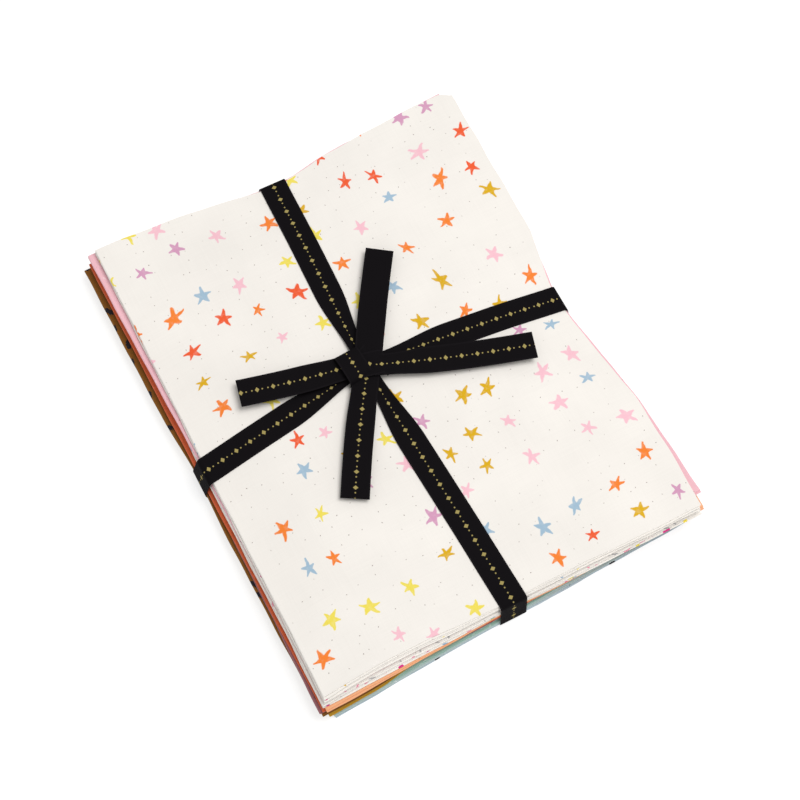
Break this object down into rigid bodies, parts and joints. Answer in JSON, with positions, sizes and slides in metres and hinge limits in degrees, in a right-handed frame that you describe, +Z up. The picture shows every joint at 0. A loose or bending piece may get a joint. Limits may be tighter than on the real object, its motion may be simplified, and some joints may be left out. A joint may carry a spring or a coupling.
{
  "type": "fat quarter bundle",
  "caption": "Stack of folded quilting-cotton fat quarters, tied both ways with flat black ribbon that is knotted on top and leaves its free ends lying over the cloth.",
  "frame": {"origin": "middle of the bundle's foot, on the surface it rests on", "axes": "+Z up out of the top cloth, +Y along the bundle's length away from the end with the first folds, +X across it away from the side with the spines"},
  "size_m": [0.2444, 0.2998, 0.0317],
  "materials": {
    "cotton_cream_stars": "matt printed cotton, small many-coloured stars on warm white",
    "cotton_cream_plain": "matt printed cotton, warm white with small coloured specks",
    "cotton_pale_pink": "matt cotton, pale pink",
    "cotton_peach": "matt cotton, peach",
    "cotton_coral": "matt cotton, coral red",
    "cotton_mauve": "matt cotton, deep mauve",
    "cotton_mustard": "matt printed cotton, mustard with black marks",
    "cotton_ochre": "matt printed cotton, ochre with black marks",
    "cotton_teal": "matt cotton, soft teal",
    "cotton_sky": "matt cotton, light blue-grey",
    "cotton_grey_blue": "matt printed cotton, grey-blue with black dashes",
    "ribbon_black": "matt black woven ribbon with a small pale gold motif"
  },
  "bodies": {
    "root": {"quarter_01_cream_stars": "cotton_cream_stars", "quarter_02_cream_dots": "cotton_cream_plain", "quarter_03_pale_pink": "cotton_pale_pink", "quarter_04_cream_flecks": "cotton_cream_plain", "quarter_05_cream_petals": "cotton_cream_plain", "quarter_06_peach": "cotton_peach", "quarter_07_coral": "cotton_coral", "quarter_08_mauve": "cotton_mauve", "quarter_09_mustard": "cotton_mustard", "quarter_10_ochre": "cotton_ochre", "quarter_11_teal": "cotton_teal", "quarter_12_sky": "cotton_sky", "quarter_13_grey_blue": "cotton_grey_blue", "ribbon_lengthwise": "ribbon_black", "ribbon_crosswise": "ribbon_black", "knot": "ribbon_black", "tail_far": "ribbon_black", "tail_right": "ribbon_black", "tail_left": "ribbon_black", "tail_near": "ribbon_black"}
  },
  "joints": []
}
